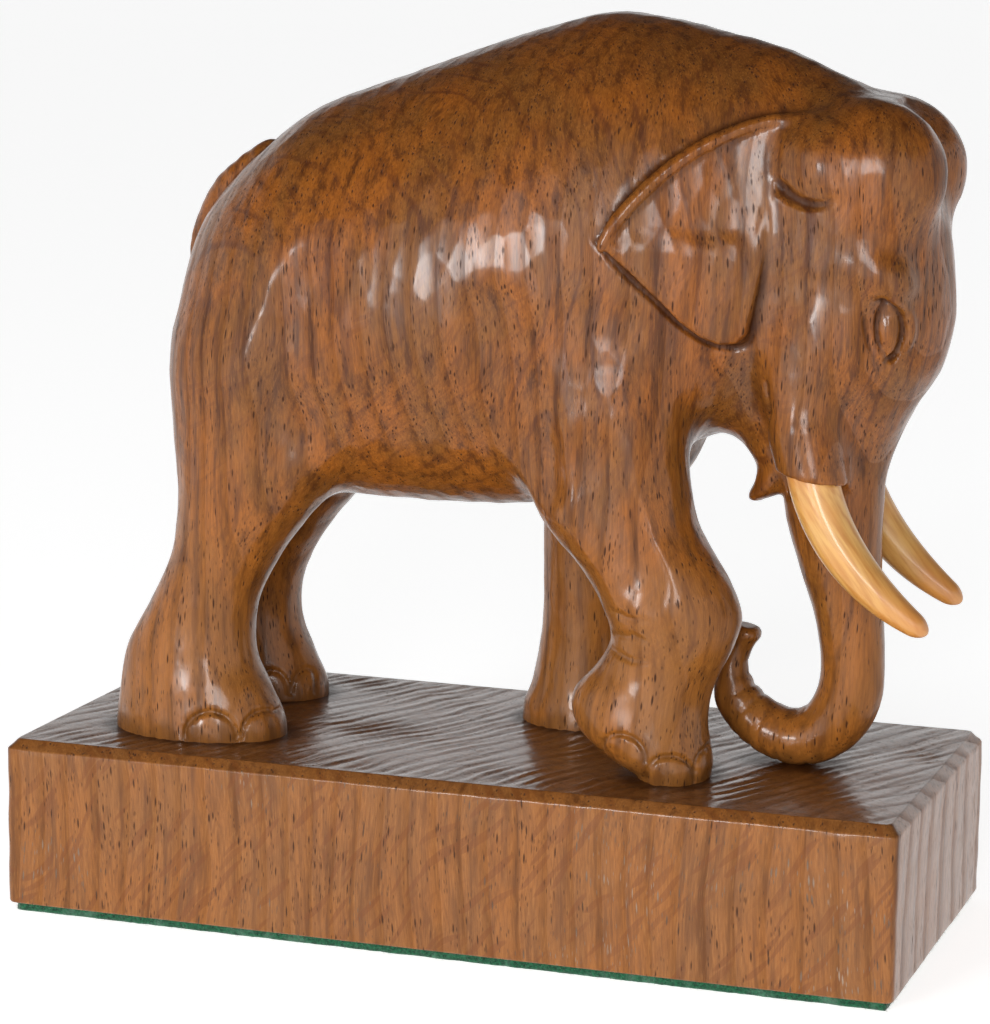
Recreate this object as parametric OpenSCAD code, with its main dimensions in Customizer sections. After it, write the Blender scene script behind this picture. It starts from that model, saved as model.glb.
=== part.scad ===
// A carved oak elephant walking on its own rectangular plinth, with two inset
// pale wood tusks and a sheet of baize under the plinth.
// +X points to the head, +Y to the animal's left, +Z up.
// The origin is the centre of the underside of the baize.

/* [Plinth] */
// Length of the plinth, along the animal
plinth_l = 180; // [150:1:230]
// Depth of the plinth, across the animal
plinth_w = 80.6; // [68:0.2:110]
// Height of the wood of the plinth
plinth_h = 33.5; // [20:0.5:50]
// Chamfer round the top edge of the plinth
top_chamfer = 1.8; // [0.6:0.1:3]
// Radius of the four upright corners of the plinth
corner_r = 1.6; // [0.6:0.1:3]

/* [Baize] */
// Thickness of the baize
baize_t = 1.8; // [0.8:0.1:3]
// How far the baize is cut back from the faces of the plinth
baize_inset = 1.4; // [0:0.1:4]

/* [Figure] */
// Height of the elephant above the plinth, to the top of its shoulders
figure_h = 144.3; // [115:0.1:175]
// Length of the elephant, from its rump to the front of its head
figure_l = 156; // [128:1:188]
// Width of the elephant across the belly
figure_w = 62; // [50:1:76]
// How far the feet run down into the plinth
foot_sink = 1; // [0.5:0.5:3]
// How far the ears stand off the neck
ear_stand = 2.6; // [1.5:0.1:4]
// Thickness of the tail where it leaves the rump
tail_d = 7; // [4:0.5:9]

/* [Tusks] */
// Diameter of a tusk where it leaves the head
tusk_d = 9.8; // [8:0.1:11.8]
// How far a tusk reaches forward of its root
tusk_reach = 23.5; // [16:0.5:28]
// How far a tusk drops below its root
tusk_drop = 29; // [20:0.5:33]
// How deep the root of a tusk sits in its sheath
seat_depth = 2; // [1:0.1:3]
// Diameter of the tenon turned on the root of a tusk
tenon_d = 5; // [3:0.1:6]
// Length of the tenon
tenon_l = 9; // [5:0.5:12]
// Glue gap left all round the root and the tenon
glue_gap = 0.1; // [0.05:0.05:0.3]

/* [Hidden] */
wood_z = baize_t;
top_z = baize_t + plinth_h;
// The figure is laid out on a body 156 long, 62 wide and 144.3 high
k = [figure_l / 156, figure_w / 62, figure_h / 144.3];
oak = [0.50, 0.30, 0.16];
pale = [0.86, 0.66, 0.38];
green = [0.10, 0.34, 0.22];

// A smooth curve through four neighbours, u running from b to c
function curve(a, b, c, d, u) =
    (2 * b + (c - a) * u + (2 * a - 5 * b + 4 * c - d) * u * u
    + (3 * b - a - 3 * c + d) * u * u * u) / 2;

// The stations of a list with smooth stations added between them
function fine(s, n) = [
    for (i = [0 : len(s) - 2])
        for (j = [0 : n - 1])
            curve(s[max(i - 1, 0)], s[i], s[i + 1], s[min(i + 2, len(s) - 1)], j / n),
    s[len(s) - 1]
];

// A rounded section: c is its centre, u and v its half axes, n its points
function ring(c, u, v, n) = [for (i = [0 : n - 1]) c + u * cos(i * 360 / n) + v * sin(i * 360 / n)];

// A skin over rings of the same number of points; u turned to v faces along the sweep
module skin(rings, size) {
    n = len(rings[0]);
    m = len(rings);
    points = [for (r = rings) for (p = r) [p.x * size.x, p.y * size.y, p.z * size.z]];
    sides = [
        for (i = [0 : m - 2])
            for (j = [0 : n - 1])
                for (t = [0, 1])
                    t == 0
                        ? [i * n + j, (i + 1) * n + j, i * n + (j + 1) % n]
                        : [i * n + (j + 1) % n, (i + 1) * n + j, (i + 1) * n + (j + 1) % n]
    ];
    start = [for (j = [0 : n - 1]) j];
    finish = [for (j = [0 : n - 1]) (m - 1) * n + n - 1 - j];
    polyhedron(points, concat([start], sides, [finish]));
}

// A rounded lump in the layout of the figure
module lump(at, size, sides) {
    translate([at.x * k.x, at.y * k.y, at.z * k.z])
        scale([size.x * k.x, size.y * k.y, size.z * k.z])
            sphere(r = 1, $fn = sides);
}

// Barrel of the body and neck: x, underside, top, half width
barrel = [
    [-67.2, 68, 88, 5],
    [-65, 58, 97, 15],
    [-60, 52, 106, 22.5],
    [-51, 49, 115.4, 27.5],
    [-38, 47.6, 124.8, 30],
    [-22, 47.3, 130.8, 31],
    [-6, 47.4, 136.6, 31],
    [8, 48.4, 141.4, 30.5],
    [21, 53, 144.3, 29],
    [33, 60, 143.4, 26.6],
    [45, 65, 141, 23],
    [56, 72, 138.4, 19.5],
    [66, 84, 134.6, 17],
    [74, 94, 128, 12]
];

module barrel_body(grow) {
    skin([
        for (s = fine(barrel, 3))
            ring([s[0], 0, (s[1] + s[2]) / 2], [0, s[3] + grow, 0], [0, 0, (s[2] - s[1]) / 2 + grow / 2], 32)
    ], k);
}

// Head and trunk in one sweep: x, z, lean of the section, half depth, half width
head_line = [
    [71, 127, 25, 6, 7],
    [71, 123, 25, 12.5, 13],
    [70, 116, 25, 17.5, 18.5],
    [69.5, 106, 22, 20.4, 20.5],
    [69, 96, 20, 21.2, 20],
    [68, 86, 20, 20, 18.5],
    [67, 76, 18, 15.8, 16],
    [66.4, 67, 14, 12.4, 13],
    [66.4, 58, 6, 10.2, 10.6],
    [67, 49, 0, 9.2, 9.2],
    [68.4, 40, -5, 7.8, 8.2],
    [70.3, 31, -7, 6.5, 7.3],
    [71.4, 22, -4, 6, 6.8],
    [70.9, 14.2, 16, 6.3, 6.6],
    [67.3, 8, 46, 6, 6.4],
    [61, 5.1, 84, 5.4, 6.2],
    [54, 7, 118, 5.1, 5.7],
    [48.7, 12, 150, 4.7, 5],
    [47.6, 18, 180, 3.4, 4],
    [49, 22.5, 198, 2.7, 3.2],
    [50.6, 26, 203, 3.1, 3.6]
];

module head_and_trunk() {
    skin([
        for (s = fine(head_line, 2))
            ring([s[0], 0, s[1]], [s[3] * cos(s[2]), 0, -s[3] * sin(s[2])], [0, -s[4], 0], 24)
    ], k);
    // Two domes of the forehead with the groove between them
    for (side = [-1, 1])
        lump([73.4, side * 9.4, 116], [15.4, 11.6, 12], 24);
    // Lower jaw, drawn to a pointed lip
    skin([
        for (s = fine([[56, 88, 11, 14], [52.6, 74, 10.4, 12], [52.6, 64, 6, 8], [52, 53, 2.2, 3.5]], 2))
            ring([s[0], 0, s[1]], [s[2], 0, 0], [0, -s[3], 0], 20)
    ], k);
}

// A leg standing in the z direction: z, x, y, half length, half width
module leg(stations) {
    skin([for (s = fine(stations, 2)) ring([s[1], s[2], s[0]], [s[3], 0, 0], [0, s[4], 0], 22)], k);
}

right_hind = [
    [-foot_sink / k.z, -57.6, -17, 18, 11.6],
    [3, -57.8, -17, 17.5, 11.5],
    [9, -59, -17, 15.9, 10.9],
    [17, -60, -16.8, 13.6, 10],
    [27, -57, -16.6, 11.2, 9.6],
    [37, -52, -16.4, 11, 10],
    [49, -47.5, -16.2, 15, 11.6],
    [63, -45, -15.6, 18.6, 13.4],
    [78, -44.5, -14.6, 19.5, 13.6],
    [90, -44.5, -12, 12, 9]
];
left_hind = [
    [-foot_sink / k.z, -61.6, 18.5, 17, 11.2],
    [3, -61.8, 18.5, 16.6, 11.1],
    [9, -62.4, 18.4, 14.6, 10.4],
    [17, -61.6, 18, 11.2, 9.5],
    [27, -58.4, 17.4, 9.6, 9.2],
    [37, -54, 16.8, 11.4, 10],
    [49, -48.5, 16.4, 15, 11.6],
    [63, -45.5, 15.6, 18.6, 13.4],
    [78, -44.5, 14.6, 19.5, 13.6],
    [90, -44.5, 12, 12, 9]
];
right_fore = [
    [-foot_sink / k.z, 41, -17.6, 6.8, 8.6],
    [1.5, 40, -17.6, 8.8, 9.8],
    [5, 37, -17.6, 11.2, 10.4],
    [10, 34, -17.4, 13.2, 10.4],
    [15.5, 34.6, -17.2, 13.2, 10],
    [20.5, 37.6, -17, 12, 9.6],
    [26, 40.2, -17, 12, 10],
    [32, 40, -17, 13.3, 10.6],
    [39, 36, -17, 13.8, 11.4],
    [49, 28.6, -16.6, 15.2, 12.6],
    [62, 25, -15.6, 16.6, 13.6],
    [78, 24, -14, 16.6, 13.2],
    [92, 24, -11, 10, 9]
];
left_fore = [
    [-foot_sink / k.z, 12, 19, 13.2, 10.8],
    [3, 12, 19, 12.8, 10.7],
    [9, 12.4, 19, 11.2, 9.8],
    [20, 12.6, 18.6, 9.5, 9.2],
    [34, 13.6, 18, 10, 9.6],
    [46, 16.4, 17.2, 12, 11],
    [60, 21, 16, 15.4, 13],
    [78, 24, 14, 17, 13.6],
    [92, 24, 11, 10, 9]
];

// Nails of a foot: foot centre, half sizes of the foot, angles of the nails
module nails(at, foot, angles) {
    for (a = angles)
        lump([at.x + foot.x * cos(a), at.y + foot.y * sin(a), at.z], [2.6, 2.6, 3.4], 12);
}

module ear_outline() {
    polygon([
        for (p = [
            [27.6, 103.4], [31, 108.6], [35.8, 113.8], [43.3, 120.6], [50.7, 124.4],
            [60, 126.2], [66, 125.6], [70.6, 122.8], [72, 118.6], [69.6, 114.6],
            [63.6, 112.2], [59.6, 109.4], [58, 103], [56.8, 95], [55.6, 88],
            [53.6, 84.8], [50.6, 84.4], [46, 86.6], [36.2, 94.4]
        ]) [p.x * k.x, p.y * k.z]
    ]);
}

// An ear: a leaf that follows a wide curve from the shoulder to the temple
module ears() {
    intersection() {
        rotate([90, 0, 0])
            linear_extrude(height = figure_w * 2, center = true)
                ear_outline();
        skin([
            for (s = fine([[82, 27, 30], [92, 28, 31.4], [104, 28, 30.6], [115, 28, 27.6], [127, 28, 22.6]], 3))
                ring([36, 0, s[0]], [s[1] + 14, 0, 0], [0, s[2] - 2.6 / k.y + ear_stand / k.y, 0], 48)
        ], k);
    }
}

// The tail lies down the middle of the rump
module tail() {
    skin([
        for (s = fine([[-54, 110, 1], [-62.4, 101.5, 0.96], [-67, 88, 0.82], [-68, 72, 0.68], [-66.6, 56, 0.56], [-64.6, 46, 0.8]], 2))
            ring([s[0], 1, s[1]], [0, s[2] * tail_d / 2, 0], [s[2] * tail_d / 2, 0, 0.6], 12)
    ], k);
}

// Where a tusk meets its sheath, and the way it points there
root = [66, 14.8, 59.7];
root_at = [root.x * k.x, root.y * k.y, top_z + root.z * k.z];
root_way = [0.24, 0.10, -0.966];
root_tip = acos(root_way.z / norm(root_way));
root_turn = atan2(root_way.y, root_way.x);

// Cheek drawn out round the root of each tusk
module sheaths() {
    for (side = [-1, 1])
        skin([
            for (s = [[-30, 6, 6], [-20, 8.2, 7], [-9, 8, 6.8], [-3, 7.2, 6.4], [0.6, 6.4, 5.9]])
                ring(
                    [root.x, side * root.y, root.z] + s[0] * [root_way.x, side * root_way.y, root_way.z],
                    [s[1], 0, s[1] * 0.2],
                    [0, -s[2], 0],
                    20
                )
        ], k);
}

module eyes() {
    for (side = [-1, 1]) {
        lump([79.8, side * 14.8, 89], [2.6, 2.2, 4], 14);
        lump([79, side * 14, 95.4], [5, 3, 2.6], 14);
    }
}

module figure() {
    translate([0, 0, top_z])
        resize([0, 0, figure_h + foot_sink])
            union() {
                barrel_body(0);
                head_and_trunk();
                leg(right_hind);
                leg(left_hind);
                leg(right_fore);
                leg(left_fore);
                nails([-58, -17, 2.6], [16.6, 10.4], [-98, -62, -26, 8]);
                nails([-62, 18.5, 2.6], [15.8, 10.1], [98, 62, 26, -10]);
                nails([40, -17.6, 2.4], [9, 9.6], [-84, -44, -4, 36]);
                nails([12, 19, 2.6], [12, 9.6], [98, 62, 26, -10]);
                ears();
                tail();
                sheaths();
                eyes();
            }
}

module plinth_blank() {
    x = plinth_l / 2 - corner_r;
    y = plinth_w / 2 - corner_r;
    union() {
        for (p = [[-x, -y], [-x, y], [x, -y], [x, y]])
            translate([p.x, p.y, wood_z])
                cylinder(h = plinth_h, r = corner_r, $fn = 32);
        translate([-x, -plinth_w / 2, wood_z])
            cube([2 * x, plinth_w, plinth_h]);
        translate([-plinth_l / 2, -y, wood_z])
            cube([plinth_l, 2 * y, plinth_h]);
    }
}

// A long prism with its two top edges taken off, to cut the chamfer with
module chamfer_prism(width, length) {
    w = width / 2;
    c = top_chamfer;
    rotate([90, 0, 90])
        translate([0, 0, -length])
            linear_extrude(height = 2 * length)
                polygon([[-w - 1, 0], [w + 1, 0], [w + 1, top_z - c - 1], [w - c, top_z], [-w + c, top_z], [-w - 1, top_z - c - 1]]);
}

module plinth() {
    intersection() {
        plinth_blank();
        chamfer_prism(plinth_w, plinth_l);
        rotate([0, 0, 90])
            chamfer_prism(plinth_l, plinth_w);
    }
}

// Places what is drawn at the root of a tusk, its way down the +Z axis
module at_root(side) {
    translate([root_at.x, side * root_at.y, root_at.z])
        rotate([0, 0, side * root_turn])
            rotate([0, root_tip, 0])
                children();
}

module tusk_cut(side) {
    at_root(side) {
        translate([0, 0, -seat_depth])
            cylinder(h = seat_depth + 12, r = tusk_d / 2 + glue_gap, $fn = 48);
        translate([0, 0, -seat_depth - tenon_l])
            cylinder(h = tenon_l + 1, r = tenon_d / 2 + glue_gap, $fn = 48);
    }
}

module elephant_and_plinth() {
    color(oak)
        difference() {
            union() {
                plinth();
                figure();
            }
            tusk_cut(-1);
            tusk_cut(1);
        }
}

// A tusk: a true cylinder for the tenon, and a curved taper that starts in the sheath
module tusk(side) {
    way = [root_way.x, side * root_way.y, root_way.z] / norm(root_way);
    start = [root_at.x, side * root_at.y, root_at.z];
    tip = start + [tusk_reach, side * 1.4, -tusk_drop];
    union() {
        at_root(side)
            translate([0, 0, -seat_depth - tenon_l])
                cylinder(h = tenon_l + 0.5, r = tenon_d / 2, $fn = 48);
        tusk_blade(start, tip, way, tusk_d / 2);
    }
}

// The blade of a tusk, swept along a curve that starts in the given way, blunt at its tip
module tusk_blade(start, tip, way, r) {
    bend = start + way * norm(tip - start) * 0.5;
    n = 16;
    curved = [
        for (i = [0 : n])
            let (
                t = 1 - pow(1 - i / n, 1.5),
                c = start * (1 - t) * (1 - t) + bend * 2 * t * (1 - t) + tip * t * t,
                d = (bend - start) * (1 - t) + (tip - bend) * t,
                blunt = sqrt(max(0.02, 1 - pow(max(0, (t - 0.93) / 0.07), 2))),
                q = r * (1 - 0.185 * t - 0.436 * t * t * t) * blunt
            )
                tusk_ring(c, d / norm(d), q)
    ];
    skin(concat([tusk_ring(start - way * seat_depth, way, r)], curved), [1, 1, 1]);
}

// A round section of a tusk, square to the way it runs
function tusk_ring(c, f, q) =
    let (u = cross(f, [0, 1, 0]) / norm(cross(f, [0, 1, 0])))
        ring(c, u * q, cross(f, u) * q, 28);

module right_tusk() {
    color(pale)
        tusk(-1);
}

module left_tusk() {
    color(pale)
        tusk(1);
}

module baize() {
    color(green)
        translate([-plinth_l / 2 + baize_inset, -plinth_w / 2 + baize_inset, 0])
            cube([plinth_l - 2 * baize_inset, plinth_w - 2 * baize_inset, baize_t]);
}

elephant_and_plinth();
right_tusk();
left_tusk();
baize();
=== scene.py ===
# %% [markdown]
# # A carved oak elephant on its plinth
#
# The real thing is one block of oak, carved into an elephant that still stands on the block
# it came from. Two tusks of pale wood are glued into it, and green baize is glued underneath.
# This lesson builds it the way a carver would: block out the masses, cut the details, leave
# the knife marks, then stain and polish the wood.
#
# The first cell loads the measured frame, which holds the four pieces as plain solids. What
# is made here stands in for them, in the same place and at the same size.

# %% Load the frame
import math

import bmesh
import bpy
import numpy as np
from mathutils import Matrix, Vector


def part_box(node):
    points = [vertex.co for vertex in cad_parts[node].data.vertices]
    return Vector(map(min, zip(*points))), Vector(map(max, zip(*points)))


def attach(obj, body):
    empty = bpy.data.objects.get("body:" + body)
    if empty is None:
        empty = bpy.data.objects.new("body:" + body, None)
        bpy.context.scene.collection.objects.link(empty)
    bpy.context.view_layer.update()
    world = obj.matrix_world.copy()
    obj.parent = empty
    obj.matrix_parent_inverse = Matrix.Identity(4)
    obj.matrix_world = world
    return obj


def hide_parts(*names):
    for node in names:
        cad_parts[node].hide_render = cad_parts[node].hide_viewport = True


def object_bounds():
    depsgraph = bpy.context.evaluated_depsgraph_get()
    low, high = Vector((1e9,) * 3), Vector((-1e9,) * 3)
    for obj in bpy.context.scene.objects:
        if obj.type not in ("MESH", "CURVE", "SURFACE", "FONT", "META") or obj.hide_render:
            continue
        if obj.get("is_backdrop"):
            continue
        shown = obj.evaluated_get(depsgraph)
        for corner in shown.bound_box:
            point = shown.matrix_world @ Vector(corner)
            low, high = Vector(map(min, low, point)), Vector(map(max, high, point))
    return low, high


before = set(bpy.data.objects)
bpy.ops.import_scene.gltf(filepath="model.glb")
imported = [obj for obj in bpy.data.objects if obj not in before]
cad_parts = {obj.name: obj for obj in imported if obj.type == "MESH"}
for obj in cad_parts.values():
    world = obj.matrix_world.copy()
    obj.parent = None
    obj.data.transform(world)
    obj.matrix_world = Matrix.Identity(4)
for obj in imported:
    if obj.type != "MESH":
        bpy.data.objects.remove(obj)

cad_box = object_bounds()
MM = 0.001
print("solid box in mm:", [[round(v / MM, 1) for v in corner] for corner in cad_box])

# %% [markdown]
# ## The camera
#
# A long lens from about seven tenths of a metre, a little to the right of the flank and a
# little above it. Its place comes from an angle round the piece, a height angle, a distance
# and a point to look at, so each of them can be changed on its own.

# %% Camera
AROUND, ABOVE, TILT = math.radians(18.803), math.radians(10.296), math.radians(0.7202)
DISTANCE, LOOK_AT, LENS = 689.74, np.array([-1.81, 0.0, 80.5]), 122.22

back = np.array([math.sin(AROUND) * math.cos(ABOVE), -math.cos(AROUND) * math.cos(ABOVE), math.sin(ABOVE)])
level = np.array([math.cos(AROUND), math.sin(AROUND), 0.0])
upright = np.cross(back, level)
across = math.cos(TILT) * level + math.sin(TILT) * upright
up = math.cos(TILT) * upright - math.sin(TILT) * level

camera = bpy.data.objects.new("camera", bpy.data.cameras.new("camera"))
camera.data.lens = LENS
camera.data.sensor_width = 36
camera.data.clip_start, camera.data.clip_end = 0.05, 50
place = np.eye(4)
place[:3, 0], place[:3, 1], place[:3, 2] = across, up, back
place[:3, 3] = (LOOK_AT + DISTANCE * back) * MM
camera.matrix_world = Matrix(place.tolist())
bpy.context.scene.collection.objects.link(camera)
bpy.context.scene.camera = camera
print("camera at", np.round(place[:3, 3], 3))

# %% [markdown]
# ## Carving by numbers
#
# Wood is carved by taking a block and changing where its surface lies. Here the block is a
# grid of numbers: each one says how far that spot is from the surface, negative inside the
# wood. Adding a mass keeps the smaller number, cutting keeps the larger, and a soft minimum
# rounds the joint between two masses as a gouge does. It suits a carving better than pushing
# points about, because masses of any shape flow into each other with no seams.

# %% The block and its tools
STEP = 0.5


def fine(stations, n):
    """A list of stations with n - 1 smooth ones put between each pair."""
    s = np.array(stations, float)
    p = np.vstack([s[:1], s, s[-1:]])
    out = []
    for i in range(len(s) - 1):
        a, b, c, d = p[i:i + 4]
        for u in np.arange(n) / n:
            out.append((2 * b + (c - a) * u + (2 * a - 5 * b + 4 * c - d) * u * u
                        + (3 * b - a - 3 * c + d) * u ** 3) / 2)
    return np.array(out + [s[-1]])


def soft_min(a, b, blend):
    """The smaller of a and b, rounded over where they are within blend of each other."""
    if blend <= 0:
        return np.minimum(a, b)
    h = np.clip(0.5 + 0.5 * (b - a) / blend, 0, 1)
    return b + (a - b) * h - blend * h * (1 - h)


def oval(u, v, a, b, w=0.0, c=1.0):
    """How far a point is outside an oval with half axes a, b and, where given, c."""
    k0 = np.sqrt((u / a) ** 2 + (v / b) ** 2 + (w / c) ** 2)
    k1 = np.sqrt((u / (a * a)) ** 2 + (v / (b * b)) ** 2 + (w / (c * c)) ** 2)
    return k0 * (k0 - 1) / np.maximum(k1, 1e-6)


class Block:
    """A block of wood as a grid of distances to the carved surface, in millimetres."""

    def __init__(self, low, high, like=None):
        if like is not None:     # on the same grid points as another block
            low = [a[np.searchsorted(a, lo)] for a, lo in zip(like.axes, low)]
        self.axes = [np.arange(lo, hi + STEP, STEP) for lo, hi in zip(low, high)]
        self.axes = [a.astype(np.float32) for a in self.axes]
        self.field = np.full([len(a) for a in self.axes], 30, np.float32)

    def near(self, low, high, margin):
        """The part of the grid round a box, and its x, y and z."""
        low, high = np.subtract(low, margin), np.add(high, margin)
        cut = tuple(slice(np.searchsorted(a, lo), np.searchsorted(a, hi, "right"))
                    for a, lo, hi in zip(self.axes, low, high))
        x, y, z = (a[s] for a, s in zip(self.axes, cut))
        return cut, x[:, None, None], y[None, :, None], z[None, None, :]

    def work(self, shape, low, high, blend, cut_away=False):
        """Adds a shape to the wood, or cuts it away. shape(x, y, z) gives its distances."""
        cut, x, y, z = self.near(low, high, 3 + blend)
        if not self.field[cut].size:
            return
        if cut_away:
            self.field[cut] = -soft_min(-self.field[cut], shape(x, y, z), blend)
        else:
            self.field[cut] = soft_min(self.field[cut], shape(x, y, z), blend)

    def stroke(self, line, blend, cut_away=False):
        """A round tool drawn along (x, y, z, radius) points."""
        line = np.array(line, float)
        for p, q in zip(line[:-1], line[1:]):
            d, r = (q - p)[:3], max(p[3], q[3])

            def shape(x, y, z, p=p, q=q, d=d):
                t = np.clip(((x - p[0]) * d[0] + (y - p[1]) * d[1] + (z - p[2]) * d[2]) / (d @ d), 0, 1)
                away = [c - p[i] - t * d[i] for i, c in enumerate((x, y, z))]
                return np.sqrt(sum(a * a for a in away)) - (p[3] + t * (q[3] - p[3]))

            self.work(shape, np.minimum(p, q)[:3] - r, np.maximum(p, q)[:3] + r, blend, cut_away)

    def ball(self, at, size, blend, cut_away=False, turn=0.0, tip=0.0):
        """An egg shape, turned about z and then tipped about y, in degrees."""
        (ct, st), (cp, sp) = ((math.cos(math.radians(a)), math.sin(math.radians(a))) for a in (turn, tip))

        def shape(x, y, z):
            x, y, z = x - at[0], y - at[1], z - at[2]
            x, y = ct * x + st * y, ct * y - st * x
            x, z = cp * x - sp * z, sp * x + cp * z
            return oval(x, y, size[0], size[1], z, size[2])

        r = max(size)
        self.work(shape, np.subtract(at, r), np.add(at, r), blend, cut_away)

    def join(self, other, blend):
        """Adds another block that was made like this one."""
        cut = []
        for a, b in zip(self.axes, other.axes):
            i = int(round((b[0] - a[0]) / STEP))
            cut.append(slice(i, min(i + len(b), len(a))))
        part = tuple(slice(0, c.stop - c.start) for c in cut)
        self.field[tuple(cut)] = soft_min(self.field[tuple(cut)], other.field[part], blend)

    def at(self, points):
        """The distance at points between the grid's own."""
        low = np.array([a[0] for a in self.axes])
        g = np.clip((points - low) / STEP, 0, np.array(self.field.shape) - 1.001)
        i = g.astype(int)
        t = g - i
        out = np.zeros(len(points))
        for a, b, c in np.ndindex(2, 2, 2):
            w = np.abs(1 - a - t[:, 0]) * np.abs(1 - b - t[:, 1]) * np.abs(1 - c - t[:, 2])
            out += w * self.field[i[:, 0] + a, i[:, 1] + b, i[:, 2] + c]
        return out

    def skin_at(self, x, z, side, sink=0.0):
        """The point of the surface at x and z, seen from the right (-1) or left (1) side."""
        y = np.arange(40, 0, -0.1)
        d = self.at(np.stack([np.full(len(y), x), side * y, np.full(len(y), z)], 1))
        hit = np.argmax(d < 0) if (d < 0).any() else len(y) - 1
        return x, side * (y[hit] - sink), z


# %% [markdown]
# ## Barrel, legs and feet
#
# The big masses come first. The barrel is a row of ovals along the body, and each leg is a
# row of ovals up from the plinth. A carver draws the same sections on the block. The two
# right legs are the ones that face the camera.

# %% Masses of the body
TOP = 35.3      # the top of the plinth above the table

BARREL = [      # x, underside, top, half width
    (-66, 103, 123, 5), (-64, 93.5, 131.5, 14), (-59.4, 87.5, 141, 21.6), (-50.4, 84.5, 150.4, 27),
    (-38, 83, 159.8, 29.8), (-22, 82.6, 165.8, 30.8), (-6, 82.6, 171.6, 31), (8, 83.6, 176.2, 30.4),
    (21, 88, 179.4, 29), (33, 95, 178.4, 26.4), (45, 100, 175.8, 22.6), (56, 107, 173, 18.6),
    (66, 119, 168.4, 15), (74, 129, 162, 9),
]
RIGHT_HIND = [  # above the plinth, x, y, half length, half width
    (-3, -57.8, -17, 17.8, 11.6), (3, -57.8, -17, 17.7, 11.6), (9, -58.8, -17, 15.9, 10.9),
    (17, -59.8, -16.8, 13.4, 10), (27, -56.8, -16.6, 10.9, 9.5), (37, -52.2, -16.4, 11.2, 10),
    (49, -47.3, -16.2, 15, 11.8), (63, -44.6, -15.6, 19, 13.4), (78, -44, -14.6, 19.5, 13.6),
    (92, -44, -12, 14, 10),
]
LEFT_HIND = [
    (-3, -61.6, 18.5, 16.8, 11.2), (3, -61.8, 18.5, 16.6, 11.1), (9, -62.6, 18.4, 14.8, 10.4),
    (17, -62, 18, 11.2, 9.5), (27, -59, 17.4, 9.3, 9.2), (37, -54.8, 16.8, 11, 10),
    (49, -49, 16.4, 15, 11.8), (63, -45, 15.6, 18.8, 13.4), (78, -44, 14.6, 19.5, 13.6),
    (92, -44, 12, 14, 10),
]
RIGHT_FORE = [
    (-3, 41.6, -17.6, 6.2, 8.4), (0.6, 41, -17.6, 7.2, 9.2), (3, 39, -17.6, 9.6, 10.2),
    (6.5, 36, -17.6, 12, 10.6), (10.5, 34.2, -17.4, 13.2, 10.6), (15.5, 34.4, -17.2, 13.4, 10.1),
    (20.5, 37.4, -17, 12.2, 9.6), (26, 40.2, -17, 12, 10), (32, 40, -17, 13.4, 10.8),
    (39, 36.4, -17, 14, 11.4), (49, 29, -16.6, 15.2, 12.6), (62, 25, -15.8, 16.8, 13.6),
    (78, 24, -14.2, 17, 13.2), (94, 24, -11, 12, 9),
]
LEFT_FORE = [
    (-3, 12, 19, 13.3, 10.8), (3, 12, 19, 13, 10.7), (9, 12.2, 19, 11.2, 9.8), (20, 12.4, 18.6, 9.5, 9.2),
    (34, 13.2, 18, 10, 9.6), (46, 16, 17.2, 12.4, 11), (60, 21, 16, 15.6, 13), (78, 24, 14, 17, 13.4),
    (94, 24, 11, 12, 9),
]


def table(stations, at):
    """Each column of the stations, read off at heights or lengths."""
    s = fine(stations, 6)
    return [np.interp(at, s[:, 0], s[:, i]).astype(np.float32) for i in range(1, s.shape[1])]


def barrel(block, stations):
    def shape(x, y, z):
        low, high, wide = table(stations, x)
        middle = low + (high - low) * 0.47
        half = np.where(z > middle, high - middle, middle - low)
        return np.maximum(oval(y, z - middle, wide, half), stations[0][0] - x)

    s = np.array(stations)
    block.work(shape, (s[0, 0], -s[:, 3].max(), s[:, 1].min()), (s[-1, 0], s[:, 3].max(), s[:, 2].max()), 0)


def column(block, stations, blend, foot=TOP):
    def shape(x, y, z):
        cx, cy, a, b = table(stations, z - foot)
        d = np.maximum(oval(x - cx, y - cy, a, b), foot + stations[0][0] - z)
        return -soft_min(-d, foot + stations[-1][0] - 6 - z, 8)

    s = np.array(stations)
    low = (s[:, 1] - s[:, 3]).min(), (s[:, 2] - s[:, 4]).min(), foot + s[0, 0]
    high = (s[:, 1] + s[:, 3]).max(), (s[:, 2] + s[:, 4]).max(), foot + s[-1, 0]
    block.work(shape, low, high, blend)


wood = Block((-82, -38, TOP - 4.6), (95, 38, 183))
barrel(wood, BARREL)
for leg in (LEFT_HIND, LEFT_FORE, RIGHT_HIND, RIGHT_FORE):
    column(wood, leg, 7)
print("block of", wood.field.size, "grid points at", STEP, "mm")

# %% [markdown]
# ## Head and trunk
#
# The head and the trunk are one long taper that leans, straightens and curls up at its tip.
# Each section has its own lean, so a spot on the grid first finds the two sections that it
# lies between. The head is made apart and joined once, so that its sides stay crisp and only
# the neck is rounded over.

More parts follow.
